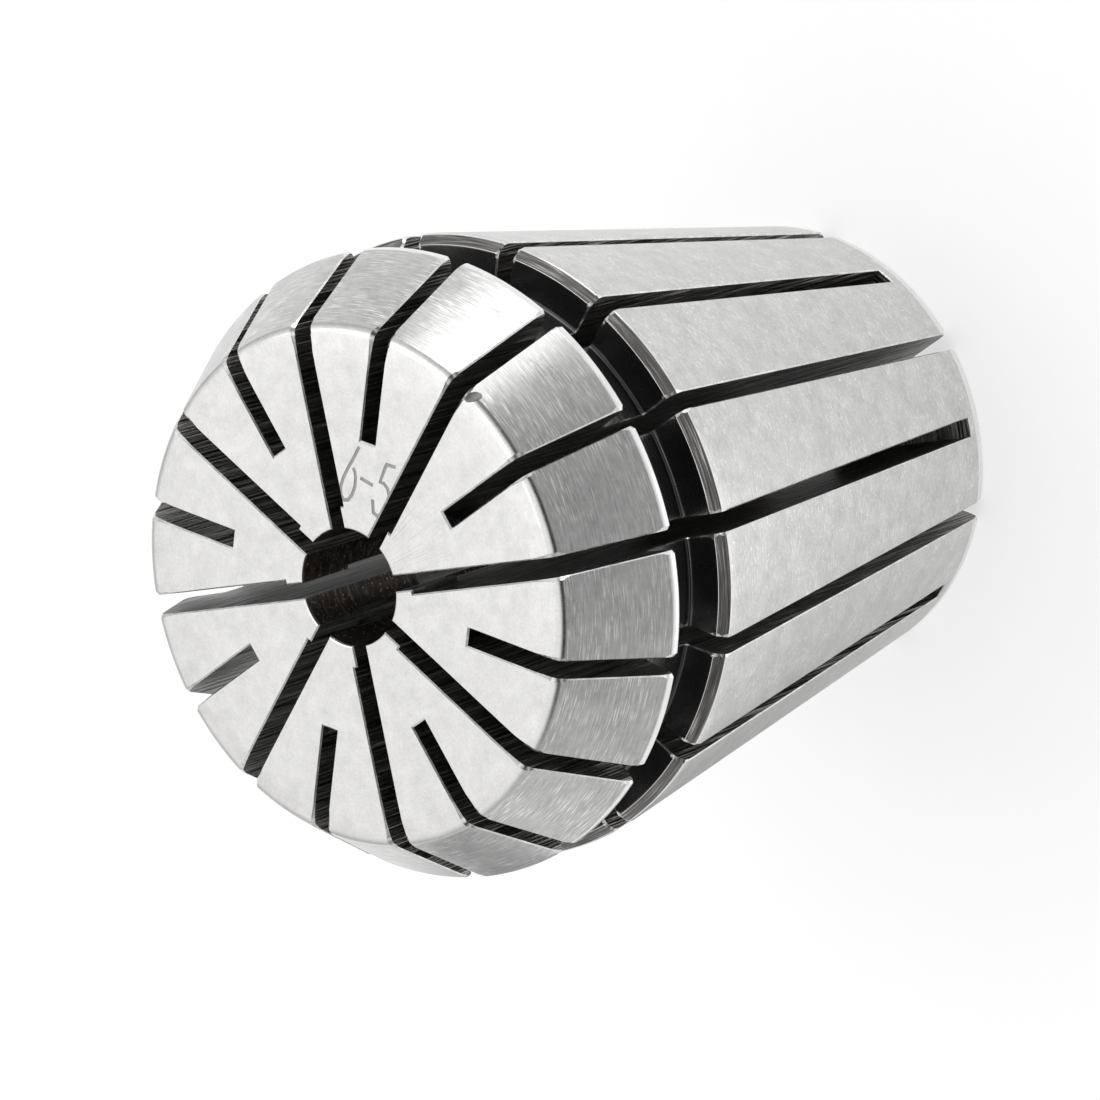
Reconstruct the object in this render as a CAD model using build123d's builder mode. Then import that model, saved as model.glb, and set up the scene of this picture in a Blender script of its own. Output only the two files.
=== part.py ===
from build123d import *
from build123d.topology import SkipClean
from math import radians, sqrt, tan
import os

# Spring collet of nominal size 32: one turned steel body, slotted in turn from its two ends.
# It stands on its rear face. The origin is the middle of that face and +Z runs to the front face.
# All sizes are in millimetres and all angles in degrees.

# Overall sizes
length = 40.0
taper_diameter = 33.0
taper_half_angle = 8.0

# Nose that the nut presses on
collar_diameter = 32.8
nose_length = 5.4
nose_half_angle = 30.0
collar_land = 0.45

# Groove that the nut's ring snaps into
groove_diameter = 28.4
groove_width = 3.85
groove_front_lean = 10.0

# Bevel between the groove and the long taper, and the soft crown that leads from it into the taper
shoulder_bevel_height = 0.58
shoulder_bevel_length = 0.45
crown_length = 0.3
crown_angle = 12.0

# Bore that grips the shank
bore_diameter = 6.0

# Slots: each end has as many, and those of one end stand midway between those of the other
slots_per_end = 8
front_slot_width = 1.02
front_slot_web = 1.6
back_slot_width = 0.92
back_slot_face_radius = 7.8
saw_diameter = 80.0
saw_offset = 0.2

# Slit through the last web of a front slot, flush with one wall of the slot
slit_width = 0.8
slit_length = 3.6
slit_height = 1.1

# Rounded and broken edges
face_rim_round = 0.6
collar_front_round = 0.5
collar_back_round = 0.25
groove_round = 0.25
shoulder_round = 0.1
crown_round = 1.6
rear_rim_round = 0.5
bore_edge_break = 0.15

# How far a cutter stands out of the body, so that it leaves no skin
cutter_margin = 1.0

# Places that follow from the sizes above
body_radius = taper_diameter / 2
collar_radius = collar_diameter / 2
groove_radius = groove_diameter / 2
bore_radius = bore_diameter / 2
saw_radius = saw_diameter / 2
collar_front_z = length - nose_length
collar_back_z = collar_front_z - collar_land
groove_back_z = collar_back_z - groove_width
taper_front_z = groove_back_z - shoulder_bevel_length
face_radius = collar_radius - nose_length * tan(radians(nose_half_angle))
rear_radius = body_radius - taper_front_z * tan(radians(taper_half_angle))
groove_front_z = collar_back_z - (collar_radius - groove_radius) * tan(radians(groove_front_lean))
crown_end_z = taper_front_z - crown_length
crown_end_radius = rear_radius + crown_end_z * tan(radians(taper_half_angle))
slot_pitch = 360 / slots_per_end
cutter_reach = body_radius + cutter_margin
cutter_top = length + cutter_margin


# The crown's chord meets the bevel where their two lines cross
bevel_slope = shoulder_bevel_height / shoulder_bevel_length
crown_slope = tan(radians(crown_angle))
bevel_foot_radius = body_radius - shoulder_bevel_height
crown_rise = bevel_foot_radius - crown_end_radius + (groove_back_z - crown_end_z) * bevel_slope
crown_top_z = crown_end_z + crown_rise / (bevel_slope - crown_slope)
crown_top_radius = crown_end_radius - (crown_top_z - crown_end_z) * crown_slope


def saw_radius_at(height, lowest_z):
    """Distance from the axis of the back slot's floor at a height, where the saw's lowest point is at lowest_z."""
    return saw_radius - sqrt(saw_radius**2 - (height - lowest_z) ** 2)


# Cutter of one front slot: full width from the front face to the web at the rear,
# apart from the corner beside the bore, which a narrower slit opens.
# The saws of both sets stand slightly beside the axis, clockwise seen from the front.
web_back_z = length - slit_length
web_radius = bore_radius + slit_height

with BuildPart() as front_slot:
    with BuildSketch(Plane.XZ.offset(saw_offset)):
        with BuildLine():
            Polyline(
                (0, front_slot_web),
                (cutter_reach, front_slot_web),
                (cutter_reach, cutter_top),
                (web_radius, cutter_top),
                (web_radius, web_back_z),
                (0, web_back_z),
                close=True,
            )
        make_face()
    extrude(amount=front_slot_width / 2, both=True)
    with BuildSketch(Plane.XZ.offset(saw_offset - front_slot_width / 2)):
        with BuildLine():
            Polyline(
                (0, web_back_z - cutter_margin),
                (web_radius + cutter_margin, web_back_z - cutter_margin),
                (web_radius + cutter_margin, cutter_top),
                (0, cutter_top),
                close=True,
            )
        make_face()
    extrude(amount=slit_width)

# Cutter of one back slot: a disc saw comes in from the rear and stops where its rim
# breaks out of the front face, so the floor of the slot is an arc of the saw
saw_stop_z = length - sqrt(saw_radius**2 - (saw_radius - back_slot_face_radius) ** 2)

with BuildPart() as back_slot:
    with BuildSketch(Plane.XZ.offset(saw_offset)):
        with BuildLine():
            top_point = (saw_radius_at(cutter_top, saw_stop_z), cutter_top)
            face_point = (back_slot_face_radius, length)
            stop_point = (0, saw_stop_z)
            Polyline(
                stop_point,
                (0, -cutter_margin),
                (cutter_reach, -cutter_margin),
                (cutter_reach, cutter_top),
                top_point,
            )
            ThreePointArc(top_point, face_point, stop_point)
        make_face()
    extrude(amount=back_slot_width / 2, both=True)

# The collet: its profile is turned, its rims are rounded, the two sets of slots are sawn,
# and the bore comes last
with BuildPart() as collet:
    with BuildSketch(Plane.XZ):
        with BuildLine():
            Polyline(
                (0, 0),
                (rear_radius, 0),
                (crown_end_radius, crown_end_z),
                (crown_top_radius, crown_top_z),
                (bevel_foot_radius, groove_back_z),
                (groove_radius, groove_back_z),
                (groove_radius, groove_front_z),
                (collar_radius, collar_back_z),
                (collar_radius, collar_front_z),
                (face_radius, length),
                (0, length),
                close=True,
            )
        make_face()
    revolve(axis=Axis.Z)

    rims = collet.edges().filter_by(GeomType.CIRCLE)

    def rims_at(height):
        """Circular edges at a height, the one nearest the axis first."""
        return rims.filter_by_position(Axis.Z, height - 1e-4, height + 1e-4).sort_by(SortBy.RADIUS)

    fillet(rims_at(length)[-1], radius=face_rim_round)
    fillet(rims_at(0)[-1], radius=rear_rim_round)
    fillet(rims_at(collar_front_z)[-1], radius=collar_front_round)
    fillet(rims_at(collar_back_z)[-1], radius=collar_back_round)
    fillet(rims_at(groove_front_z)[0], radius=groove_round)
    fillet(rims_at(groove_back_z)[0], radius=groove_round)
    fillet(rims_at(groove_back_z)[-1], radius=shoulder_round)
    fillet(rims_at(crown_top_z)[-1], radius=shoulder_round)
    fillet(rims_at(crown_end_z)[-1], radius=crown_round)

    with PolarLocations(0, slots_per_end):
        add(front_slot.part, mode=Mode.SUBTRACT)
    with PolarLocations(0, slots_per_end, start_angle=slot_pitch / 2):
        add(back_slot.part, mode=Mode.SUBTRACT)

    # Broken edges of the bore's two mouths
    with BuildSketch(-Plane.XY, Plane.XY.offset(length)):
        Circle(bore_radius + bore_edge_break)
    extrude(amount=-bore_edge_break, taper=45, mode=Mode.SUBTRACT)

    # The slots leave the bore a broken ring at the rear, narrow ridges along the middle and broad
    # lands at the front, so it is bored in these three lengths and each keeps a wall of its own
    bore_steps = (bore_edge_break, front_slot_web, web_back_z, length - bore_edge_break)
    with SkipClean():
        for low, high in zip(bore_steps, bore_steps[1:]):
            with BuildSketch(Plane.XY.offset(low)):
                Circle(bore_radius)
            extrude(amount=high - low, clean=False, mode=Mode.SUBTRACT)

collet.part.label = "collet"

os.makedirs("parts", exist_ok=True)
export_step(collet.part, "parts/collet.step")
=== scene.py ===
"""Spring collet of nominal size 32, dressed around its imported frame.

The collet stands on its rear face. Sizes below are in millimetres, +Z runs from the rear face to
the front face, and a finished piece is scaled to metres at the end of its making.
"""

import logging
import math
from dataclasses import dataclass, field
from enum import Enum
from typing import Callable, Iterable, Sequence

import bmesh
import bpy
from mathutils import Matrix, Vector


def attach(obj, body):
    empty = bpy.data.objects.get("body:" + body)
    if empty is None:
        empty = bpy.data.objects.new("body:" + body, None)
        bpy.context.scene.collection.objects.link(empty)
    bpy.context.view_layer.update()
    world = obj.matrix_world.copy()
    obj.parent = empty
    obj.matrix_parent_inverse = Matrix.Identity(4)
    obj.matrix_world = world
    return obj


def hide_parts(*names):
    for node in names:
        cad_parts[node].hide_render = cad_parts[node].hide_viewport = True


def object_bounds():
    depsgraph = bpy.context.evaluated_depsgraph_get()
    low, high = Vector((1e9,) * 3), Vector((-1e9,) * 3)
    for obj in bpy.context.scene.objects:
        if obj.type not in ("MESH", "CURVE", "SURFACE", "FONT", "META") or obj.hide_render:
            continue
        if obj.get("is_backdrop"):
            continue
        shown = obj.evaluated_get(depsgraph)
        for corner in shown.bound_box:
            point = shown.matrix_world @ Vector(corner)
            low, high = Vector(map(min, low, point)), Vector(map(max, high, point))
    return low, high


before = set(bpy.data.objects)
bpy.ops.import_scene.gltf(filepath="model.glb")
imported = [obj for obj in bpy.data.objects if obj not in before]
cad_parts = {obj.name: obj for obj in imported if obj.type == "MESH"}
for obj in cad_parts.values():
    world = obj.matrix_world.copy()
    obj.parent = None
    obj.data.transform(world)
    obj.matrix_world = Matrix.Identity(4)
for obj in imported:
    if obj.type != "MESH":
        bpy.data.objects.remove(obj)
cad_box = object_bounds()

log = logging.getLogger("collet")

METRE = 0.001
MILLIMETRES = (1000.0, 1000.0, 1000.0)
LAY_RADIUS = 14.0
Point = tuple[float, float]
Ramp = tuple[Point, Point]
Colour = tuple[float, float, float]
Socket = bpy.types.NodeSocket


# Node layout


class NodeSheet:
    """Short calls that lay out the nodes of one tree."""

    def __init__(self, tree: bpy.types.NodeTree) -> None:
        """Keep the tree that the nodes go into."""
        self.tree = tree

    def add(self, kind: str, inputs: dict | None = None, **settings: object) -> bpy.types.Node:
        """Add a node.

        Args:
            kind: The node's type name, without the leading "ShaderNode".
            inputs: Values or sockets for the node's inputs, by name or number.
            settings: Properties of the node.

        Returns:
            The new node.
        """
        node = self.tree.nodes.new(f"ShaderNode{kind}")
        for name, value in settings.items():
            setattr(node, name, value)
        for name, value in (inputs or {}).items():
            self.feed(node.inputs[name], value)
        return node

    def feed(self, target: Socket, value: object) -> None:
        """Give an input a link, when the value is a socket, or else a fixed value.

        Args:
            target: The input.
            value: A socket, or a value of the input's kind.
        """
        if isinstance(value, bpy.types.NodeSocket):
            self.tree.links.new(value, target)
        else:
            target.default_value = value

    def math(self, operation: str, *values: object, clamp: bool = False) -> Socket:
        """Join values by a Math node and return its result."""
        inputs = dict(enumerate(values))
        return self.add("Math", inputs, operation=operation, use_clamp=clamp).outputs[0]

    def vector(self, operation: str, *values: object) -> bpy.types.Node:
        """Join vectors by a Vector Math node and return the node."""
        return self.add("VectorMath", dict(enumerate(values)), operation=operation)

    def triple(self, x: object, y: object, z: object) -> Socket:
        """Join three values to a vector."""
        return self.add("CombineXYZ", {0: x, 1: y, 2: z}).outputs[0]

    def noise(self, vector: Socket, scale: object, detail: float, roughness: float = 0.5) -> Socket:
        """Lay noise over a vector.

        Args:
            vector: The vector.
            scale: How fine the noise is.
            detail: How many finer layers it has.
            roughness: How strong the finer layers are.

        Returns:
            A value between 0 and 1.
        """
        inputs = {"Vector": vector, "Scale": scale, "Detail": detail, "Roughness": roughness}
        return self.add("TexNoise", inputs).outputs[0]

    def ramp(self, value: Socket, start: Point, end: Point, smooth: bool = True) -> Socket:
        """Map a value that runs between two places onto two levels, and hold it outside.

        Args:
            value: The value.
            start: Where the ramp starts, and its level there.
            end: Where the ramp ends, and its level there.
            smooth: Whether its two ends are eased.

        Returns:
            The level.
        """
        places = {"From Min": start[0], "From Max": end[0]}
        inputs = {"Value": value, **places, "To Min": start[1], "To Max": end[1]}
        kind = "SMOOTHSTEP" if smooth else "LINEAR"
        return self.add("MapRange", inputs, interpolation_type=kind).outputs[0]

    def tint(self, colour: object, factor: Socket) -> Socket:
        """Multiply a colour by a value."""
        return self.vector("MULTIPLY", colour, self.triple(factor, factor, factor)).outputs[0]

    def place(self, tree: bpy.types.NodeTree, **inputs: object) -> bpy.types.Node:
        """Place a node group and feed its named inputs.

        Args:
            tree: The group.
            inputs: Values or sockets by input name, with underscores for spaces.

        Returns:
            The new node.
        """
        node = self.add("Group", node_tree=tree)
        for name, value in inputs.items():
            self.feed(node.inputs[name.replace("_", " ").capitalize()], value)
        return node


def start_group(name: str, inputs: dict[str, str], outputs: dict[str, str]) -> tuple[NodeSheet, dict, dict]:
    """Start a shader node group with named sockets.

    Args:
        name: The group's name.
        inputs: Socket kinds by input name.
        outputs: Socket kinds by output name.

    Returns:
        The group's sheet, its inputs as sockets, and the sockets that its outputs take.
    """
    tree = bpy.data.node_groups.new(name, "ShaderNodeTree")
    for side, sockets in (("INPUT", inputs), ("OUTPUT", outputs)):
        for label, kind in sockets.items():
            tree.interface.new_socket(label, in_out=side, socket_type=f"NodeSocket{kind}")
    entry = tree.nodes.new("NodeGroupInput")
    leave = tree.nodes.new("NodeGroupOutput")
    given = {label: entry.outputs[label] for label in inputs}
    taken = {label: leave.inputs[label] for label in outputs}
    return NodeSheet(tree), given, taken


class SteelGroups:
    """The node groups that the steel finishes share."""

    streak_edges: Point = (0.52, 0.72)
    score_edges: Point = (0.4, 0.6)
    score_length: float = 1.7
    score_pitch: float = 6.0
    score_relief: float = 2.0
    drift_scale: float = 0.17
    patch_scale: float = 420.0
    patch_levels: Ramp = ((0.4, 0.15), (0.62, 1.0))
    speck_scale: float = 7000.0
    speck_levels: Ramp = ((0.66, 0.0), (0.74, 1.0))

    def __init__(self) -> None:
        """Build the groups."""
        self.lay = self.build_lay()
        self.streaks = self.build_streaks()
        self.steel = self.build_steel()

    @staticmethod
    def build_lay() -> bpy.types.NodeTree:
        """Build the group that unrolls object coordinates round the axis, in millimetres.

        Returns:
            The group.
        """
        sheet, given, taken = start_group(
            "Turned lay", {"Position": "Vector"}, {"Around": "Float", "Radius": "Float", "Height": "Float"}
        )
        scaled = sheet.vector("MULTIPLY", given["Position"], MILLIMETRES).outputs[0]
        parts = sheet.add("SeparateXYZ", {0: scaled}).outputs
        angle = sheet.math("ARCTAN2", parts[1], parts[0])
        flat = sheet.triple(parts[0], parts[1], 0.0)
        sheet.feed(taken["Around"], sheet.math("MULTIPLY", angle, LAY_RADIUS))
        sheet.feed(taken["Radius"], sheet.vector("LENGTH", flat).outputs[1])
        sheet.feed(taken["Height"], parts[2])
        return sheet.tree

    @staticmethod
    def build_streaks() -> bpy.types.NodeTree:
        """Build the group that draws short tool streaks along one direction.

        Returns:
            The group.
        """
        names = ("Along", "Across", "Length", "Pitch", "Low", "High")
        sheet, given, taken = start_group(
            "Tool streaks", dict.fromkeys(names, "Float"), {"Mask": "Float", "Height": "Float"}
        )
        along = sheet.math("DIVIDE", given["Along"], given["Length"])
        across = sheet.math("DIVIDE", given["Across"], given["Pitch"])
        grain = sheet.noise(sheet.triple(along, across, 0.0), 1.0, 2.0, 0.55)
        mask = sheet.add(
            "MapRange", {"Value": grain, "From Min": given["Low"], "From Max": given["High"]}
        ).outputs[0]
        sheet.feed(taken["Mask"], mask)
        sheet.feed(taken["Height"], grain)
        return sheet.tree

    def build_steel(self) -> bpy.types.NodeTree:
        """Build the group that lays mottle, streaks and specks over a plain steel colour.

        Returns:
            The group.
        """
        sheet, given, taken = start_group(
            "Worked steel",
            {
                "Position": "Vector",
                "Along": "Float",
                "Across": "Float",
                "Colour": "Color",
                "Roughness": "Float",
                "Mottle size": "Float",
                "Mottle": "Float",
                "Streak length": "Float",
                "Streak pitch": "Float",
                "Streaks": "Float",
                "Brush": "Float",
                "Scores": "Float",
                "Specks": "Float",
                "Roughness spread": "Float",
            },
            {"Color": "Color", "Roughness": "Float", "Height": "Float"},
        )
        fine = sheet.math("DIVIDE", 1000.0, given["Mottle size"])
        cloud = sheet.noise(given["Position"], fine, 3.0, 0.6)
        drift = sheet.noise(given["Position"], sheet.math("MULTIPLY", fine, self.drift_scale), 2.0)
        streak = sheet.place(
            self.streaks, along=given["Along"], across=given["Across"], length=given["Streak length"],
            pitch=given["Streak pitch"], low=self.streak_edges[0], high=self.streak_edges[1],
        )
        score = sheet.place(
            self.streaks, along=given["Along"], across=given["Across"],
            length=sheet.math("MULTIPLY", given["Streak length"], self.score_length),
            pitch=sheet.math("MULTIPLY", given["Streak pitch"], self.score_pitch),
            low=self.score_edges[0], high=self.score_edges[1],
        )
        patch = sheet.ramp(sheet.noise(given["Position"], self.patch_scale, 2.0), *self.patch_levels)
        streaks = sheet.math("MULTIPLY", streak.outputs["Mask"], patch)
        # Specks: fine bright dots of speckled grain; where they are strong, as in the bore, they are painted
        # glints.
        specks = sheet.ramp(sheet.noise(given["Position"], self.speck_scale, 1.0), *self.speck_levels)
        uneven = sheet.math("ADD", sheet.math("SUBTRACT", cloud, 0.5), sheet.math("SUBTRACT", drift, 0.5))
        shade = sheet.math("MULTIPLY_ADD", uneven, given["Mottle"], 1.0)
        grain = sheet.math("SUBTRACT", streak.outputs["Height"], 0.5)
        shade = sheet.math("MULTIPLY_ADD", grain, given["Brush"], shade)
        shade = sheet.math("MULTIPLY_ADD", streaks, given["Streaks"], shade)
        wide = sheet.math("SUBTRACT", score.outputs["Height"], 0.5)
        shade = sheet.math("MULTIPLY_ADD", wide, given["Scores"], shade)
        shade = sheet.math("MULTIPLY_ADD", specks, given["Specks"], shade)
        sheet.feed(taken["Color"], sheet.tint(given["Colour"], shade))
        rough = sheet.math("MULTIPLY_ADD", uneven, given["Roughness spread"], given["Roughness"])
        sheet.feed(taken["Roughness"], rough)
        height = sheet.math("MULTIPLY_ADD", cloud, 0.5, streak.outputs["Height"])
        deep = sheet.math("MULTIPLY", given["Scores"], self.score_relief)
        height = sheet.math("MULTIPLY_ADD", wide, deep, height)
        sheet.feed(taken["Height"], height)
        return sheet.tree


class Lay(Enum):
    """Which way a tool has left its marks: along, and then across."""

    ROUND_THE_AXIS = ("Around", "Height")
    ROUND_THE_FACE = ("Around", "Radius")
    DOWN_THE_SLOT = ("Height", "Radius")
    OUT_FROM_BORE = ("Radius", "Around")


@dataclass(frozen=True)
class SteelFinish:
    """A finish of the bare steel, as one tool or wheel leaves it."""

    name: str
    colour: Colour
    roughness: float
    lay: Lay = Lay.ROUND_THE_AXIS
    mottle_size: float = 0.35
    mottle: float = 0.1
    roughness_spread: float = 0.1
    streak_length: float = 1.2
    streak_pitch: float = 0.08
    streaks: float = 0.2
    brush: float = 0.2
    scores: float = 0.0
    specks: float = 0.0
    relief: float = 0.1
    depth: float = 0.02
    metallic: float = 1.0
    grazing_tint: float = 1.0

    def dress(self, sheet: NodeSheet, groups: SteelGroups, shader: bpy.types.Node) -> None:
        """Feed a shader with this finish.

        Args:
            sheet: The material's sheet.
            groups: The shared node groups.
            shader: The material's Principled BSDF node.
        """
        position = sheet.add("TexCoord").outputs["Object"]
        lay = sheet.place(groups.lay, position=position)
        steel = sheet.place(
            groups.steel,
            position=position,
            along=lay.outputs[self.lay.value[0]],
            across=lay.outputs[self.lay.value[1]],
            colour=(*self.colour, 1.0),
            roughness=self.roughness,
            mottle_size=self.mottle_size,
            mottle=self.mottle,
            streak_length=self.streak_length,
            streak_pitch=self.streak_pitch,
            streaks=self.streaks,
            brush=self.brush,
            scores=self.scores,
            specks=self.specks,
            roughness_spread=self.roughness_spread,
        )
        colour = self.wear(sheet, groups, lay, steel.outputs["Color"])
        sheet.feed(shader.inputs["Base Color"], colour)
        sheet.feed(shader.inputs["Roughness"], steel.outputs["Roughness"])
        inputs = {"Strength": self.relief, "Distance": self.depth * METRE, "Height": steel.outputs["Height"]}
        sheet.feed(shader.inputs["Normal"], sheet.add("Bump", inputs).outputs[0])

    def wear(self, sheet: NodeSheet, groups: SteelGroups, lay: bpy.types.Node, colour: Socket) -> Socket:
        """Return the colour as it is: a plain finish has no other wear."""
        return colour

    def build(self, groups: SteelGroups) -> bpy.types.Material:
        """Make the material of this finish.

        Args:
            groups: The shared node groups.

        Returns:
            The new material.
        """
        material = bpy.data.materials.new(self.name)
        material.use_nodes = True
        shader = material.node_tree.nodes["Principled BSDF"]
        shader.inputs["Metallic"].default_value = self.metallic
        shader.inputs["Specular Tint"].default_value = (self.grazing_tint,) * 3 + (1.0,)
        self.dress(NodeSheet(material.node_tree), groups, shader)
        return material


@dataclass(frozen=True)
class ScuffedFace(SteelFinish):
    """The satin front face, with fine scratches that run out from the bore on one side."""

    scuff_angle: float = math.radians(-67.0)
    scuff_depth: float = 0.22
    scuff_length: float = 3.0
    scuff_pitch: float = 0.16
    scuff_edges: Point = (0.56, 0.66)
    beside_levels: Ramp = ((2.5, 1.0), (8.0, 0.0))
    near_levels: Ramp = ((4.5, 1.0), (8.5, 0.0))

    def wear(self, sheet: NodeSheet, groups: SteelGroups, lay: bpy.types.Node, colour: Socket) -> Socket:
        """Darken the scratches.

        Args:
            sheet: The material's sheet.
            groups: The shared node groups.
            lay: The node that unrolls the coordinates.
            colour: The colour so far.

        Returns:
            The colour with the scratches.
        """
        scuffs = sheet.place(
            groups.streaks, along=lay.outputs["Radius"], across=lay.outputs["Around"],
            length=self.scuff_length, pitch=self.scuff_pitch,
            low=self.scuff_edges[0], high=self.scuff_edges[1],
        )
        turned = sheet.math("SUBTRACT", lay.outputs["Around"], self.scuff_angle * LAY_RADIUS)
        beside = sheet.ramp(sheet.math("ABSOLUTE", turned), *self.beside_levels)
        near = sheet.ramp(lay.outputs["Radius"], *self.near_levels)
        mask = sheet.math("MULTIPLY", sheet.math("MULTIPLY", beside, near), scuffs.outputs["Mask"])
        shade = sheet.math("MULTIPLY_ADD", mask, -self.scuff_depth, 1.0)
        return sheet.tint(colour, shade)


class Band(Enum):
    """The surfaces of the collet, each with its own finish."""

    FACE = ScuffedFace(
        "satin_front_face", (0.69, 0.685, 0.672), 0.40, Lay.ROUND_THE_FACE,
        mottle_size=0.14, mottle=0.3, streaks=0.0, brush=0.12, specks=0.08, relief=0.15,
    )
    FACE_RIM = SteelFinish(
        "satin_face_rim", (0.68, 0.675, 0.665), 0.24,
        mottle_size=0.14, mottle=0.25, streaks=0.0, brush=0.15, relief=0.1,
    )
    CONE = SteelFinish(
        "brushed_nose_cone", (0.58, 0.58, 0.575), 0.3,
        mottle=0.4, streak_length=1.1, streak_pitch=0.065, streaks=0.75, brush=0.75, scores=0.12,
        specks=0.12, relief=0.15,
    )
    TAPER = SteelFinish(
        "ground_long_taper", (0.61, 0.61, 0.6), 0.34,
        mottle_size=0.2, mottle=0.4, streak_length=0.5, streak_pitch=0.1, streaks=0.35, brush=0.25,
        specks=0.35, relief=0.14,
    )
    GROOVE = SteelFinish(
        "dark_turned_groove", (0.1, 0.098, 0.097), 0.26, metallic=0.94,
        streak_length=11.0, streak_pitch=0.1, streaks=1.6, brush=0.8, relief=0.35,
    )
    SHOULDER = SteelFinish(
        "streaked_shoulder_bevel", (0.19, 0.184, 0.178), 0.26,
        streak_length=2.2, streak_pitch=0.055, streaks=2.5, brush=2.4, relief=0.35,
    )
    # The bore's strong specks are painted glints: tiny dots of raised colour on the dark wall, over its
    # turned rings.
    BORE = SteelFinish(
        "reamed_bore", (0.15, 0.13, 0.115), 0.3, metallic=0.93,
        streak_length=4.0, streak_pitch=0.2, streaks=2.0, brush=1.5, specks=6.0, relief=1.0, depth=0.05,
    )
    RIM = SteelFinish(
        "rubbed_rims", (0.82, 0.815, 0.81), 0.2,
        mottle=0.2, streak_length=2.0, streak_pitch=0.05, streaks=0.1, relief=0.06,
    )
    SAWN = SteelFinish(
        "sawn_slot_walls", (0.18, 0.175, 0.168), 0.32, Lay.DOWN_THE_SLOT,
        metallic=0.92, grazing_tint=0.8,
        mottle=0.6, streak_length=7.0, streak_pitch=0.12, streaks=2.0, brush=3.0, scores=1.8,
        relief=1.0, depth=0.09,
    )
    EDGE = SteelFinish(
        "broken_slot_edges", (0.74, 0.74, 0.73), 0.24, Lay.OUT_FROM_BORE,
        mottle_size=0.15, mottle=0.9, streaks=0.2, relief=0.25,
    )
    ETCHED = SteelFinish(
        "etched_size_mark", (0.34, 0.335, 0.33), 0.55, Lay.ROUND_THE_FACE,
        mottle_size=0.1, mottle=0.6, streaks=0.0, relief=0.2,
    )


# Modelling helpers


def activate(piece: bpy.types.Object) -> None:
    """Select one object alone and make it the active one."""
    bpy.ops.object.select_all(action="DESELECT")
    piece.select_set(True)
    bpy.context.view_layer.objects.active = piece


def start_vertex(name: str, place: Vector) -> bpy.types.Object:
    """Start a mesh with one vertex, in edit mode.

    Args:
        name: The new object's name.
        place: Where the vertex goes.

    Returns:
        The new object, with its vertex selected.
    """
    if bpy.context.mode != "OBJECT":
        bpy.ops.object.mode_set(mode="OBJECT")
    bpy.ops.object.select_all(action="DESELECT")
    bpy.ops.mesh.primitive_plane_add(size=1.0, location=(0.0, 0.0, 0.0))
    piece = bpy.context.active_object
    piece.name = piece.data.name = name
    bpy.ops.object.mode_set(mode="EDIT")
    bpy.ops.mesh.select_mode(type="VERT")
    bpy.ops.mesh.select_all(action="SELECT")
    bpy.ops.mesh.merge(type="CENTER")
    bpy.ops.transform.translate(value=place)
    return piece


def draw_line(name: str, places: Sequence[Vector]) -> bpy.types.Object:
    """Draw a line of edges by extruding a vertex from place to place, and stay in edit mode.

    Args:
        name: The new object's name.
        places: The places, in turn.

    Returns:
        The new object.
    """
    piece = start_vertex(name, places[0])
    for last, place in zip(places, places[1:]):
        bpy.ops.mesh.extrude_vertices_move(TRANSFORM_OT_translate={"value": place - last})
    return piece


def select_faces(piece: bpy.types.Object, chosen: Callable[[bmesh.types.BMFace], bool]) -> None:
    """Select the faces of a mesh in edit mode that pass a test, and no others.

    Args:
        piece: The object.
        chosen: The test.
    """
    bpy.ops.mesh.select_mode(type="FACE")
    bpy.ops.mesh.select_all(action="DESELECT")
    mesh = bmesh.from_edit_mesh(piece.data)
    for face in mesh.faces:
        if chosen(face):
            face.select_set(True)
    bmesh.update_edit_mesh(piece.data)


def paint_selected(piece: bpy.types.Object, slot: int) -> None:
    """Give the selected faces a material slot."""
    piece.active_material_index = slot
    bpy.ops.object.material_slot_assign()


def carve(piece: bpy.types.Object, cutter: bpy.types.Object) -> None:
    """Cut a piece with a cutter, which leaves its materials on the cut, and delete the cutter.

    Args:
        piece: The object that is cut.
        cutter: The object that cuts it.
    """
    activate(piece)
    cut = piece.modifiers.new("cut", "BOOLEAN")
    cut.operation = "DIFFERENCE"
    cut.solver = "EXACT"
    cut.material_mode = "TRANSFER"
    cut.object = cutter
    bpy.ops.object.modifier_apply(modifier=cut.name)
    bpy.data.objects.remove(cutter, do_unlink=True)


def leave_edit(piece: bpy.types.Object) -> None:
    """Turn all faces outwards and leave edit mode."""
    bpy.ops.mesh.select_all(action="SELECT")
    bpy.ops.mesh.normals_make_consistent(inside=False)
    bpy.ops.object.mode_set(mode="OBJECT")
    activate(piece)


# Outline of the turned body


@dataclass(frozen=True)
class OutlinePoint:
    """A point of the outline, the way out of the steel there, and the edge break beside a slot."""

    place: Point
    inside: Point
    side: float

    def beyond(self, reach: float) -> Point:
        """Return the point as far outside the outline as a share of its depth inside."""
        return tuple(a + (a - b) * reach for a, b in zip(self.place, self.inside))


@dataclass(frozen=True)
class EdgeBreak:
    """How much a slot's edge is broken, along its length and more at each rounded rim."""

    size: float = 0.075
    rim_growth: float = 0.13
    rim_reach: float = 0.2

    def at(self, point: Point, out: Point, distance: float, rounding: float) -> OutlinePoint:
        """Make a point of the outline.

        Args:
            point: The point on the surface.
            out: The unit direction out of the steel.
            distance: How far the point is from the nearest rounded rim.
            rounding: The radius of that rim.

        Returns:
            The point with its edge break.
        """
        share = math.exp(-((distance / self.rim_reach) ** 2))
        deepest = min(self.size + self.rim_growth * 0.5, rounding * 0.8)
        depth = self.size + (deepest - self.size) * share
        inside = (point[0] - out[0] * depth, point[1] - out[1] * depth)
        return OutlinePoint(point, inside, self.size + self.rim_growth * share)


@dataclass(frozen=True)
class Corner:
    """A corner of the turned outline and the radius that rounds it."""

    radius: float
    height: float
    rounding: float = 0.0

    @property
    def place(self) -> Vector:
        """Return the corner as a vector."""
        return Vector((self.radius, self.height))


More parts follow.
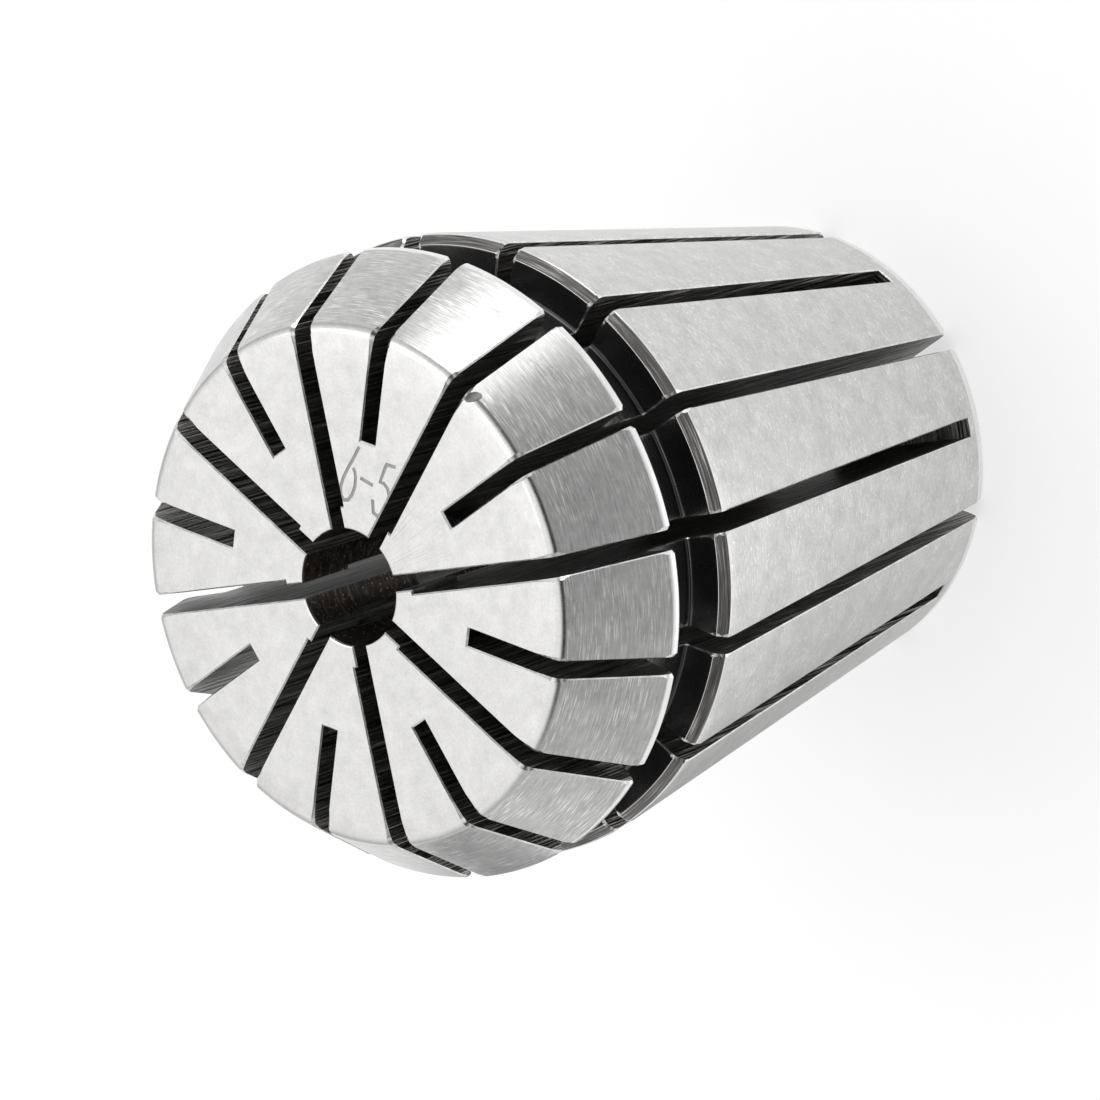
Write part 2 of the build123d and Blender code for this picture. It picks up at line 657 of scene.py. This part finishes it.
@dataclass(frozen=True)
class TurnedOutline:
    """The outline of the body from its front face, over the nose and the groove, to the rear."""

    corners: tuple[Corner, ...]
    edge_break: EdgeBreak = EdgeBreak()
    arc_step: float = math.radians(11.0)
    guards: tuple[float, ...] = (0.05, 0.13, 0.24, 0.42)
    longest: float = 3.0
    widest_rim: float = 1.0

    def points(self) -> list[OutlinePoint]:
        """Round the corners and divide the edges.

        Returns:
            The points of the outline.
        """
        line: list[OutlinePoint] = []
        start = self.corners[0].place
        before = (math.inf, 1.0)
        for index, corner in enumerate(self.corners[1:], 1):
            last = index == len(self.corners) - 1
            if last:
                self.run(line, start, corner.place, before, (math.inf, 1.0))
                break
            back = (self.corners[index - 1].place - corner.place).normalized()
            ahead = (self.corners[index + 1].place - corner.place).normalized()
            half = back.angle(ahead) / 2.0
            reach = corner.rounding / math.tan(half)
            first, second = corner.place + back * reach, corner.place + ahead * reach
            convex = back.x * ahead.y - back.y * ahead.x > 0.0
            rim = convex and corner.rounding < self.widest_rim
            after = (0.0 if rim else math.inf, corner.rounding)
            self.run(line, start, first, before, after)
            self.round_corner(line, corner, (back + ahead).normalized(), first, second, convex)
            start, before = second, after
        return line

    def run(self, line: list[OutlinePoint], start: Vector, end: Vector, before: Point, after: Point) -> None:
        """Add the points of one straight run.

        Args:
            line: The outline so far, which gets the points.
            start: Where the run starts.
            end: Where the run ends.
            before: Distance and radius of the rounded rim at its start.
            after: Distance and radius of the rounded rim at its end.
        """
        length = (end - start).length
        way = (end - start).normalized()
        out = (-way.y, way.x)
        half = length / 2.0
        spots = {0.0, length}
        spots.update(guard for guard in self.guards if guard < half)
        spots.update(length - guard for guard in self.guards if guard < half)
        pieces = max(1, round(length / self.longest))
        inner = (length * step / pieces for step in range(1, pieces))
        spots.update(spot for spot in inner if self.guards[-1] * 1.5 < spot < length - self.guards[-1] * 1.5)
        for spot in sorted(spots):
            place = start + way * spot
            rim = min((before[0] + spot, before[1]), (after[0] + length - spot, after[1]))
            line.append(self.edge_break.at((place.x, place.y), out, *rim))

    def round_corner(
        self, line: list[OutlinePoint], corner: Corner, inward: Vector,
        first: Vector, second: Vector, convex: bool,
    ) -> None:
        """Add the points between the two ends of a rounded corner.

        Args:
            line: The outline so far, which gets the points.
            corner: The corner.
            inward: The unit direction from the corner to the middle of its rounding.
            first: Where the rounding starts.
            second: Where the rounding ends.
            convex: Whether the corner stands out of the steel.
        """
        sweep = (first - corner.place).angle(second - corner.place)
        middle = corner.place + inward * (corner.rounding / math.sin(sweep / 2.0))
        turn = math.pi - sweep
        steps = max(2, round(turn / self.arc_step))
        spoke = (first - middle).normalized()
        way = -1.0 if convex else 1.0
        for step in range(1, steps):
            angle = way * turn * step / steps
            cos, sin = math.cos(angle), math.sin(angle)
            arm = Vector((spoke.x * cos - spoke.y * sin, spoke.x * sin + spoke.y * cos))
            place = middle + arm * corner.rounding
            out = -arm * way
            distance = 0.0 if convex and corner.rounding < self.widest_rim else math.inf
            line.append(self.edge_break.at((place.x, place.y), (out.x, out.y), distance, corner.rounding))


@dataclass
class ColletSizes:
    """The sizes of the collet, as its solid has them."""

    length: float = 40.0
    body_radius: float = 16.48
    taper_half_angle: float = math.radians(8.0)
    collar_radius: float = 16.4
    nose_length: float = 5.4
    nose_half_angle: float = math.radians(30.0)
    dome_radius: float = 12.0
    dome_angle: float = math.radians(4.0)
    collar_land: float = 0.45
    groove_radius: float = 14.2
    groove_width: float = 3.85
    groove_front_lean: float = math.radians(10.0)
    shoulder_bevel_height: float = 0.58
    shoulder_bevel_length: float = 0.45
    crown_length: float = 0.3
    crown_angle: float = math.radians(4.0)
    bore_radius: float = 3.0
    slots_per_end: int = 8
    saw_offset: float = 0.2
    front_slot_width: float = 1.02
    front_slot_web: float = 1.6
    back_slot_width: float = 0.92
    back_slot_face_radius: float = 7.8
    saw_radius: float = 40.0
    dome_round: float = 25.0
    face_rim_round: float = 0.6
    collar_front_round: float = 0.5
    collar_back_round: float = 0.25
    groove_round: float = 0.25
    bevel_foot_round: float = 0.1
    bevel_top_round: float = 0.13
    crown_round: float = 2.3
    rear_rim_round: float = 0.5
    slit_width: float = 0.8
    slit_length: float = 3.6
    slit_height: float = 1.1
    slit_overlap: float = 0.2
    bore_edge_break: float = 0.15
    blind_end_break: float = 0.15
    slot_start: float = 2.7

    @property
    def collar_front(self) -> float:
        """Return the height at which the nose cone meets the collar's land."""
        return self.length - self.nose_length

    @property
    def collar_back(self) -> float:
        """Return the height at which the collar's land meets the groove."""
        return self.collar_front - self.collar_land

    @property
    def groove_back(self) -> float:
        """Return the height of the groove's rear wall."""
        return self.collar_back - self.groove_width

    @property
    def taper_front(self) -> float:
        """Return the height at which the long taper starts."""
        return self.groove_back - self.shoulder_bevel_length

    @property
    def web_radius(self) -> float:
        """Return how far from the axis the web slit of a front slot reaches."""
        return self.bore_radius + self.slit_height

    @property
    def saw_stop(self) -> float:
        """Return the height of the lowest point of the saw that cuts a back slot."""
        rise = self.saw_radius - self.back_slot_face_radius
        return self.length - math.sqrt(self.saw_radius**2 - rise**2)

    def taper_radius(self, height: float) -> float:
        """Return the radius of the long taper at a height."""
        return self.body_radius - (self.taper_front - height) * math.tan(self.taper_half_angle)

    def saw_rim(self, height: float) -> float:
        """Return how far from the axis the saw's rim stands at a height."""
        return self.saw_radius - math.sqrt(self.saw_radius**2 - (height - self.saw_stop) ** 2)

    def outline(self, start_radius: float, ending: Sequence[Corner]) -> TurnedOutline:
        """Return the outline from a place on the front face to an ending.

        Args:
            start_radius: Where on the front face the outline starts.
            ending: The corners after the start of the long taper.

        Returns:
            The outline.
        """
        slant, fall = math.tan(self.nose_half_angle), math.tan(self.dome_angle)
        face_radius = self.collar_radius - self.nose_length * slant
        edge_radius = (face_radius - self.dome_radius * slant * fall) / (1.0 - slant * fall)
        lean = (self.collar_radius - self.groove_radius) * math.tan(self.groove_front_lean)
        corners = (
            Corner(start_radius, self.length),
            Corner(self.dome_radius, self.length, self.dome_round),
            Corner(edge_radius, self.length - (edge_radius - self.dome_radius) * fall, self.face_rim_round),
            Corner(self.collar_radius, self.collar_front, self.collar_front_round),
            Corner(self.collar_radius, self.collar_back, self.collar_back_round),
            Corner(self.groove_radius, self.collar_back - lean, self.groove_round),
            Corner(self.groove_radius, self.groove_back, self.groove_round),
            *self.shoulder(),
            *ending,
        )
        return TurnedOutline(corners)

    def shoulder(self) -> tuple[Corner, ...]:
        """Place the bevel of the shoulder and the soft crown that leads into the long taper.

        Returns:
            The corners of the shoulder, from the groove on.
        """
        foot = self.body_radius - self.shoulder_bevel_height
        rise = self.shoulder_bevel_height / self.shoulder_bevel_length
        lean = math.tan(self.crown_angle)
        end = self.taper_front - self.crown_length
        radius = self.taper_radius(end)
        meet = (foot + self.groove_back * rise - radius - end * lean) / (rise - lean)
        return (
            Corner(foot, self.groove_back, self.bevel_foot_round),
            Corner(radius - (meet - end) * lean, meet, self.bevel_top_round),
            Corner(radius, end, self.crown_round),
        )

    def rear_ending(self, end_radius: float) -> tuple[Corner, ...]:
        """Return the corners of the rear rim and of the end on the rear face."""
        return Corner(self.taper_radius(0.0), 0.0, self.rear_rim_round), Corner(end_radius, 0.0)


# Cutting tools


@dataclass
class SlotCutter:
    """A plate in the shape of one slot, whose mouth is flared so that it breaks the slot's edges."""

    name: str
    width: float
    middle: float
    mouth: list[OutlinePoint]
    floor: list[Point]
    copies: int
    first_angle: float = 0.0
    overshoot: float = 0.6
    materials: Sequence[bpy.types.Material] = ()

    def build(self) -> bpy.types.Object:
        """Model the plate, flare its mouth and copy it round the axis.

        Returns:
            The cutter, with all its copies.
        """
        side = self.middle - self.width / 2.0
        rim = [*(point.inside for point in self.mouth), *self.floor]
        piece = draw_line(self.name, [Vector((radius, side, height)) for radius, height in rim])
        for material in self.materials:
            piece.data.materials.append(material)
        bpy.ops.mesh.select_all(action="SELECT")
        bpy.ops.mesh.edge_face_add()
        bpy.ops.mesh.extrude_region_move(TRANSFORM_OT_translate={"value": (0.0, self.width, 0.0)})
        self.flare(piece)
        bpy.ops.mesh.select_all(action="SELECT")
        if self.copies > 1:
            turn = 2.0 * math.pi * (self.copies - 1) / self.copies
            bpy.ops.mesh.spin(
                steps=self.copies - 1, dupli=True, angle=turn, center=(0.0, 0.0, 0.0), axis=(0.0, 0.0, 1.0)
            )
        leave_edit(piece)
        piece.rotation_euler.z = self.first_angle
        bpy.ops.object.transform_apply(location=False, rotation=True, scale=False)
        return piece

    def flare(self, piece: bpy.types.Object) -> None:
        """Extrude the mouth outwards and widen it on both sides, and paint what it leaves.

        Args:
            piece: The plate, in edit mode.
        """
        def key(radius: float, height: float) -> tuple[int, int]:
            """Return a place in steps that are finer than any two points are apart."""
            return round(radius * 2000), round(height * 2000)

        def found(vert: bmesh.types.BMVert) -> OutlinePoint | None:
            """Return the point of the mouth that a vertex is at."""
            return mouth.get(key(vert.co.x, vert.co.z))

        mouth = {key(*point.inside): point for point in self.mouth}
        select_faces(piece, lambda face: len(face.verts) == 4 and all(found(vert) for vert in face.verts))
        bpy.ops.mesh.extrude_region_move(TRANSFORM_OT_translate={"value": (0.0, 0.0, 0.0)})
        mesh = bmesh.from_edit_mesh(piece.data)
        for vert in mesh.verts:
            if vert.select:
                point = found(vert)
                radius, height = point.beyond(self.overshoot)
                half = self.width / 2.0 + point.side * (1.0 + self.overshoot)
                vert.co = (radius, self.middle + math.copysign(half, vert.co.y - self.middle), height)
        bmesh.update_edit_mesh(piece.data)
        edge = self.width / 2.0 + 1e-3
        select_faces(piece, lambda face: any(abs(vert.co.y - self.middle) > edge for vert in face.verts))
        paint_selected(piece, 1)


@dataclass
class EtchedMark:
    """The numbers of the clamping range, etched beside the bore, as strokes of one width."""

    angle: float = math.radians(-22.5)
    width: float = 0.19
    depth: float = 0.02
    overshoot: float = 0.18
    strokes: tuple[tuple[Point, ...], ...] = (
        (
            (-0.28, 7.42), (-0.55, 6.75), (-0.85, 6.1), (-1.08, 5.5), (-1.17, 5.0), (-1.09, 4.62),
            (-0.86, 4.42), (-0.6, 4.52), (-0.4, 4.85), (-0.28, 5.3), (-0.29, 5.75), (-0.38, 6.08),
            (-0.52, 6.24),
        ),
        ((0.01, 5.86), (0.84, 5.71)),
        (
            (2.12, 7.05), (1.55, 7.03), (1.4, 6.55), (1.26, 6.02), (1.5, 6.02), (1.78, 5.82), (1.95, 5.4),
            (1.9, 4.9), (1.66, 4.46), (1.33, 4.23), (1.05, 4.34), (0.92, 4.99),
        ),
    )

    def build(self, top: float, material: bpy.types.Material) -> bpy.types.Object:
        """Model the strokes as low prisms that reach just into the face.

        Args:
            top: The height of the face.
            material: The material that the cut leaves.

        Returns:
            The cutter.
        """
        plates = [self.stroke(index, line, top - self.depth) for index, line in enumerate(self.strokes)]
        bpy.ops.object.select_all(action="DESELECT")
        for plate in plates:
            plate.select_set(True)
        bpy.context.view_layer.objects.active = plates[0]
        bpy.ops.object.join()
        plates[0].data.materials.append(material)
        return plates[0]

    def stroke(self, index: int, line: Sequence[Point], bottom: float) -> bpy.types.Object:
        """Model one stroke.

        Args:
            index: The stroke's number, for its name.
            line: The points of its middle line, in the mark's own frame.
            bottom: The height of its lower side.

        Returns:
            The stroke as a prism.
        """
        points = [Vector(point) for point in line]
        left, right = [], []
        for place, point in enumerate(points):
            before = (point - points[place - 1]).normalized() if place else None
            after = (points[place + 1] - point).normalized() if place < len(points) - 1 else None
            ways = [way for way in (before, after) if way is not None]
            way = sum(ways, Vector((0.0, 0.0))).normalized()
            reach = self.width / 2.0 / max(0.75, way.dot(ways[0]))
            across = Vector((-way.y, way.x)) * reach
            left.append(point + across)
            right.append(point - across)
        out = Vector((math.cos(self.angle), math.sin(self.angle)))
        aside = Vector((out.y, -out.x))
        rim = [aside * point.x + out * point.y for point in (*left, *reversed(right))]
        piece = draw_line(f"stroke_{index}", [Vector((*point, bottom)) for point in rim])
        bpy.ops.mesh.select_all(action="SELECT")
        bpy.ops.mesh.edge_face_add()
        rise = self.depth + self.overshoot
        bpy.ops.mesh.extrude_region_move(TRANSFORM_OT_translate={"value": (0.0, 0.0, rise)})
        leave_edit(piece)
        return piece


@dataclass
class RimNick:
    """A small gouge that a knock has left in the rim of the front face."""

    place: Vector = field(default_factory=lambda: Vector((8.72, -10.52, 39.66)))
    size: Vector = field(default_factory=lambda: Vector((0.82, 0.3, 0.24)))
    heading: float = math.radians(-72.0)
    dip: float = math.radians(28.0)

    def build(self, material: bpy.types.Material) -> bpy.types.Object:
        """Model the gouge as a stretched ball that dips into the rim.

        Args:
            material: The material that the cut leaves.

        Returns:
            The cutter.
        """
        bpy.ops.object.select_all(action="DESELECT")
        bpy.ops.mesh.primitive_ico_sphere_add(subdivisions=3, radius=1.0)
        piece = bpy.context.active_object
        piece.name = piece.data.name = "nick"
        turn = Matrix.Rotation(self.heading, 4, "Z") @ Matrix.Rotation(self.dip, 4, "Y")
        stretch = Matrix.Diagonal((*self.size, 1.0))
        piece.matrix_world = Matrix.Translation(self.place) @ turn @ stretch
        bpy.ops.object.transform_apply(location=True, rotation=True, scale=True)
        piece.data.materials.append(material)
        return piece


# The collet


@dataclass
class Collet:
    """The one piece: a turned body with two interleaved sets of slots."""

    sizes: ColletSizes = field(default_factory=ColletSizes)
    mark: EtchedMark = field(default_factory=EtchedMark)
    nick: RimNick = field(default_factory=RimNick)
    steps: int = 360
    mouth_steps: int = 5
    bore_steps: int = 10
    arc_steps: int = 24
    flat_lift: float = 0.997
    mouth_lift: float = 0.8
    slope_margin: float = 0.01
    name: str = "collet_body"

    def build(self, materials: dict[Band, bpy.types.Material]) -> bpy.types.Object:
        """Turn the blank, etch it, saw its slots and finish its faces.

        Args:
            materials: The material of each band.

        Returns:
            The finished piece.
        """
        body = self.turn_blank(materials)
        carve(body, self.mark.build(self.sizes.length, materials[Band.ETCHED]))
        carve(body, self.nick.build(materials[Band.ETCHED]))
        for cutter in self.slot_cutters(materials):
            log.info("cutting with %s", cutter.name)
            carve(body, cutter.build())
        self.finish(body)
        return body

    def turn_blank(self, materials: dict[Band, bpy.types.Material]) -> bpy.types.Object:
        """Draw half the section, spin it round the axis and paint its bands.

        Args:
            materials: The material of each band.

        Returns:
            The blank, with no slots.
        """
        sizes = self.sizes
        lip = sizes.bore_radius + sizes.bore_edge_break
        outer = [point.place for point in sizes.outline(lip, sizes.rear_ending(lip)).points()]
        low, high = sizes.bore_edge_break, sizes.length - sizes.bore_edge_break
        turns = [math.radians(90.0) * step / self.mouth_steps for step in range(1, self.mouth_steps)]
        rounding = [(lip - low * math.sin(turn), low - low * math.cos(turn)) for turn in turns]
        heights = (low + (high - low) * step / self.bore_steps for step in range(self.bore_steps + 1))
        bore = [(sizes.bore_radius, height) for height in heights]
        upper = [(radius, sizes.length - height) for radius, height in reversed(rounding)]
        section = [*outer, *rounding, *bore, *upper, outer[0]]
        body = draw_line(self.name, [Vector((radius, 0.0, height)) for radius, height in section])
        bpy.ops.mesh.select_all(action="SELECT")
        bpy.ops.mesh.remove_doubles(threshold=1e-3)
        bpy.ops.mesh.select_all(action="SELECT")
        bpy.ops.mesh.spin(steps=self.steps, angle=2.0 * math.pi, center=(0.0, 0.0, 0.0), axis=(0.0, 0.0, 1.0))
        bpy.ops.mesh.select_all(action="SELECT")
        bpy.ops.mesh.remove_doubles(threshold=1e-3)
        bpy.ops.mesh.normals_make_consistent(inside=False)
        for slot, band in enumerate(materials):
            body.data.materials.append(materials[band])
            select_faces(body, lambda face, band=band: self.band_at(face) is band)
            paint_selected(body, slot)
        leave_edit(body)
        return body

    def band_at(self, face: bmesh.types.BMFace) -> Band:
        """Tell which band a face of the blank is in, by its place and normal.

        Args:
            face: The face.

        Returns:
            Its band.
        """
        sizes = self.sizes
        middle = face.calc_center_median()
        radius, height, lift = middle.xy.length, middle.z, face.normal.z
        if radius < sizes.bore_radius + sizes.bore_edge_break:
            return Band.BORE if abs(lift) < self.mouth_lift else Band.FACE_RIM
        if abs(lift) > self.flat_lift and (height > sizes.length - 0.1 or height < 0.01):
            return Band.FACE
        cone_lift = math.sin(sizes.nose_half_angle)
        if height > sizes.collar_front - 0.1 and abs(lift - cone_lift) < self.slope_margin:
            return Band.CONE
        if height > sizes.collar_front + sizes.nose_length / 2.0:
            return Band.FACE_RIM
        if radius < sizes.collar_radius - 0.2 and sizes.groove_back - 0.01 < height < sizes.collar_back:
            return Band.GROOVE
        bevel = math.atan2(sizes.shoulder_bevel_height, sizes.shoulder_bevel_length)
        if abs(height - sizes.groove_back) < 1.0 and abs(lift - math.sin(bevel)) < self.slope_margin:
            return Band.SHOULDER
        if 1.0 < height < sizes.taper_front + 0.2 and lift < math.sin(sizes.crown_angle) + 0.02:
            return Band.TAPER
        return Band.RIM

    def slot_cutters(self, materials: dict[Band, bpy.types.Material]) -> Iterable[SlotCutter]:
        """Give the cutters of the front slots, the back slots and the web slits, in turn.

        Args:
            materials: The material of each band.

        Yields:
            Each cutter.
        """
        sizes = self.sizes
        painted = (materials[Band.SAWN], materials[Band.EDGE])
        edge = EdgeBreak().size
        count, middle = sizes.slots_per_end, -sizes.saw_offset
        web, top = sizes.web_radius, sizes.length - sizes.slit_length

        ending = (Corner(sizes.taper_radius(sizes.front_slot_web), sizes.front_slot_web),)
        mouth = sizes.outline(web, ending).points()
        mouth[0] = OutlinePoint((web - edge, sizes.length), (web, sizes.length - edge), edge)
        lowest = mouth[-1]
        below = sizes.front_slot_web - edge
        corner = (lowest.inside[0], sizes.front_slot_web)
        mouth[-1] = OutlinePoint((sizes.taper_radius(below), below), corner, edge)
        floor = [(sizes.slot_start, sizes.front_slot_web), (sizes.slot_start, top), (web, top)]
        width = sizes.front_slot_width
        yield SlotCutter("front_slots", width, middle, mouth, floor, count, materials=painted)

        mouth = sizes.outline(sizes.back_slot_face_radius, sizes.rear_ending(sizes.slot_start)).points()
        start = sizes.back_slot_face_radius
        inner = (sizes.saw_rim(sizes.length - edge), sizes.length - edge)
        mouth[0] = OutlinePoint((start - sizes.blind_end_break, sizes.length), inner, edge)
        rise = math.sqrt(sizes.saw_radius**2 - (sizes.saw_radius - sizes.slot_start) ** 2)
        low = sizes.saw_stop + rise
        span = sizes.length - edge - low
        heights = [low + span * step / self.arc_steps for step in range(self.arc_steps)]
        floor = [(sizes.saw_rim(height), height) for height in heights]
        half_pitch = math.pi / count
        yield SlotCutter(
            "back_slots", sizes.back_slot_width, middle, mouth, floor, count, half_pitch, materials=painted
        )

        slit_middle = middle + (sizes.front_slot_width - sizes.slit_width) / 2.0
        reach, depth = web + sizes.slit_overlap, top - sizes.slit_overlap
        line = TurnedOutline((Corner(sizes.slot_start, sizes.length), Corner(reach, sizes.length)))
        floor = [(reach, depth), (sizes.slot_start, depth)]
        yield SlotCutter(
            "web_slits", sizes.slit_width, slit_middle, line.points(), floor, count, materials=painted
        )

    @staticmethod
    def finish(body: bpy.types.Object) -> None:
        """Clean the mesh, smooth its turned faces and scale it to metres.

        Args:
            body: The collet, in millimetres.
        """
        activate(body)
        bpy.ops.object.mode_set(mode="EDIT")
        bpy.ops.mesh.select_all(action="SELECT")
        bpy.ops.mesh.remove_doubles(threshold=1e-4)
        bpy.ops.object.mode_set(mode="OBJECT")
        bpy.ops.object.shade_smooth_by_angle(angle=math.radians(24.0))
        body.scale = (METRE, METRE, METRE)
        bpy.ops.object.transform_apply(location=False, rotation=False, scale=True)


# Studio


@dataclass
class Softbox:
    """A rectangular lamp that faces a target."""

    name: str
    place: Vector
    target: Vector
    width: float
    height: float
    radiance: float

    def build(self) -> bpy.types.Object:
        """Add the lamp.

        Returns:
            The new lamp.
        """
        lamp = bpy.data.lights.new(self.name, "AREA")
        lamp.shape = "RECTANGLE"
        lamp.size, lamp.size_y = self.width, self.height
        lamp.energy = self.radiance * math.pi * self.width * self.height
        holder = bpy.data.objects.new(self.name, lamp)
        bpy.context.scene.collection.objects.link(holder)
        holder.location = self.place
        holder.rotation_euler = (self.target - self.place).to_track_quat("-Z", "Y").to_euler()
        holder.visible_camera = False
        return holder


@dataclass
class Studio:
    """A pale floor, soft light from above and from the right, and the camera of the photograph."""

    eye: Vector = field(default_factory=lambda: Vector((25.282, -170.358, 231.923)) * METRE)
    ahead: Vector = field(default_factory=lambda: Vector((-0.09862, 0.63017, -0.77017)))
    up: Vector = field(default_factory=lambda: Vector((0.97596, -0.08993, -0.19856)))
    lens: float = 167.786
    sensor: float = 36.0
    world_levels: Ramp = ((0.12, 0.58), (0.72, 1.12))
    dark_heading: float = math.radians(-93.0)
    dark_rise: Ramp = ((0.05, 0.0), (0.42, 1.0))
    dark_fall: Ramp = ((0.62, 1.0), (0.93, 0.0))
    dark_width: Ramp = ((-0.25, 0.0), (0.7, 0.97))
    floor_radius: float = 1.6
    floor_grey: float = 0.42
    floor_glow: float = 0.65
    # Painted shadow and painted light in the floor's glow that the steel reflects: a copy of the collet's
    # long shadow, dimming farther out and a brighter patch in front.
    painted_shadow_heading: float = math.radians(153.0)
    painted_shadow_edge: Ramp = ((9.0, 0.0), (25.0, 1.0))
    painted_shadow_start: Ramp = ((-5.0, 1.0), (35.0, 0.0))
    painted_shadow_end: Ramp = ((120.0, 0.0), (190.0, 0.8))
    painted_far_dimming: Ramp = ((70.0, 0.98), (330.0, 0.55))
    painted_patch_place: tuple[float, float, float] = (-10.0, -52.0, 0.0)
    painted_patch_levels: Ramp = ((12.0, 1.7), (34.0, 1.0))

    def build(self) -> None:
        """Set up the view, the world, the floor, the lamps and the camera."""
        bpy.context.scene.view_settings.view_transform = "Standard"
        self.light_world()
        self.lay_floor()
        centre = Vector((0.0, 0.0, 0.02))
        for lamp in (
            Softbox("softbox_above", Vector((0.2, 0.2, 0.55)), centre, 0.36, 0.36, 1.3),
            Softbox("softbox_right", Vector((0.42, -0.12, 0.03)), centre, 0.24, 0.2, 2.2),
        ):
            lamp.build()
        self.place_camera()

    def light_world(self) -> None:
        """Light the world: mid grey low down, brighter overhead, and a dark band beside the camera."""
        world = bpy.data.worlds.new("studio")
        bpy.context.scene.world = world
        world.use_nodes = True
        world.node_tree.nodes.clear()
        sheet = NodeSheet(world.node_tree)
        direction = sheet.add("TexCoord").outputs["Generated"]
        height = sheet.add("SeparateXYZ", {0: direction}).outputs[2]
        level = sheet.ramp(height, *self.world_levels, smooth=False)
        heading = (math.cos(self.dark_heading), math.sin(self.dark_heading), 0.0)
        facing = sheet.vector("DOT_PRODUCT", direction, heading).outputs[1]
        rise = sheet.ramp(height, *self.dark_rise)
        fall = sheet.ramp(height, *self.dark_fall)
        band = sheet.math("MULTIPLY", rise, fall)
        dark = sheet.math("MULTIPLY", band, sheet.ramp(facing, *self.dark_width))
        level = sheet.math("MULTIPLY", level, sheet.math("SUBTRACT", 1.0, dark))
        path = sheet.add("LightPath")
        level = sheet.math("MAXIMUM", level, path.outputs["Is Camera Ray"])
        background = sheet.add("Background", {"Color": (1.0, 1.0, 1.0, 1.0), "Strength": level})
        output = sheet.add("OutputWorld")
        sheet.feed(output.inputs["Surface"], background.outputs[0])

    def lay_floor(self) -> None:
        """Lay the floor that the collet stands on, white to the camera and dimmer to the steel."""
        bpy.ops.object.select_all(action="DESELECT")
        bpy.ops.mesh.primitive_circle_add(vertices=96, radius=self.floor_radius, fill_type="NGON")
        floor = bpy.context.active_object
        floor.name = floor.data.name = "floor"
        material = bpy.data.materials.new("pale_floor")
        material.use_nodes = True
        material.node_tree.nodes.clear()
        sheet = NodeSheet(material.node_tree)
        matt = sheet.add("BsdfDiffuse", {"Color": (*(self.floor_grey,) * 3, 1.0)})
        path = sheet.add("LightPath")
        mirrored = self.mirrored_floor(sheet)
        seen = sheet.math("MAXIMUM", path.outputs["Is Glossy Ray"], path.outputs["Is Transmission Ray"])
        seen = sheet.math("MAXIMUM", sheet.math("MULTIPLY", seen, mirrored), path.outputs["Is Camera Ray"])
        strength = sheet.math("MULTIPLY", seen, self.floor_glow)
        glow = sheet.add("Emission", {"Color": (1.0, 1.0, 1.0, 1.0), "Strength": strength})
        both = sheet.add("AddShader", {0: matt.outputs[0], 1: glow.outputs[0]})
        output = sheet.add("OutputMaterial")
        sheet.feed(output.inputs["Surface"], both.outputs[0])
        floor.data.materials.append(material)
        floor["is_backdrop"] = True

    def mirrored_floor(self, sheet: NodeSheet) -> Socket:
        """Lay out how bright the steel sees the floor, with painted shadow and painted light: less in a
        painted copy of the collet's long shadow, more in a painted bright patch in front of it, and dimmer
        farther out.

        Args:
            sheet: The sheet of the floor's material.

        Returns:
            The share of the floor's glow.
        """
        position = sheet.add("TexCoord").outputs["Object"]
        place = sheet.vector("MULTIPLY", position, MILLIMETRES).outputs[0]
        # Painted shadow: a band shaped like the collet's long shadow, which dims the floor's glow in the
        # steel.
        cos, sin = math.cos(self.painted_shadow_heading), math.sin(self.painted_shadow_heading)
        along = sheet.vector("DOT_PRODUCT", place, (cos, sin, 0.0)).outputs[1]
        beside = sheet.vector("DOT_PRODUCT", place, (-sin, cos, 0.0)).outputs[1]
        edge = sheet.ramp(sheet.math("ABSOLUTE", beside), *self.painted_shadow_edge)
        start = sheet.ramp(along, *self.painted_shadow_start)
        end = sheet.ramp(along, *self.painted_shadow_end)
        shade = sheet.math("MAXIMUM", edge, sheet.math("MAXIMUM", start, end))
        # Painted light: the glow dims farther out and is brighter in a patch in front of the collet.
        distance = sheet.vector("LENGTH", place).outputs[1]
        far = sheet.ramp(distance, *self.painted_far_dimming, smooth=False)
        spot = sheet.vector("DISTANCE", place, self.painted_patch_place).outputs[1]
        front = sheet.ramp(spot, *self.painted_patch_levels)
        return sheet.math("MULTIPLY", sheet.math("MULTIPLY", shade, far), front)

    def place_camera(self) -> None:
        """Place the camera where the photograph was taken from."""
        data = bpy.data.cameras.new("camera")
        data.sensor_fit = "HORIZONTAL"
        data.sensor_width = self.sensor
        data.lens = self.lens
        data.clip_start = 0.01
        camera = bpy.data.objects.new("camera", data)
        bpy.context.scene.collection.objects.link(camera)
        ahead = self.ahead.normalized()
        up = (self.up - ahead * self.up.dot(ahead)).normalized()
        axes = Matrix((ahead.cross(up), up, -ahead)).transposed().to_4x4()
        camera.matrix_world = Matrix.Translation(self.eye) @ axes
        bpy.context.scene.camera = camera


def main() -> None:
    """Build the collet and its studio, and report each piece."""
    logging.basicConfig(level=logging.INFO, format="%(name)s: %(message)s")
    groups = SteelGroups()
    materials = {band: band.value.build(groups) for band in Band}
    body = Collet().build(materials)
    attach(body, "root")
    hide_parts("collet")
    faces = len(body.data.polygons)
    triangles = sum(len(face.vertices) - 2 for face in body.data.polygons)
    count = len(body.data.materials)
    log.info("%s: %d faces, %d triangles, %d materials", body.name, faces, triangles, count)
    Studio().build()
    visual_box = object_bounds()
    boxes = {"cad": cad_box, "visual": visual_box}
    {name: [list(corner) for corner in box] for name, box in boxes.items()}


if __name__ == "__main__":
    main()
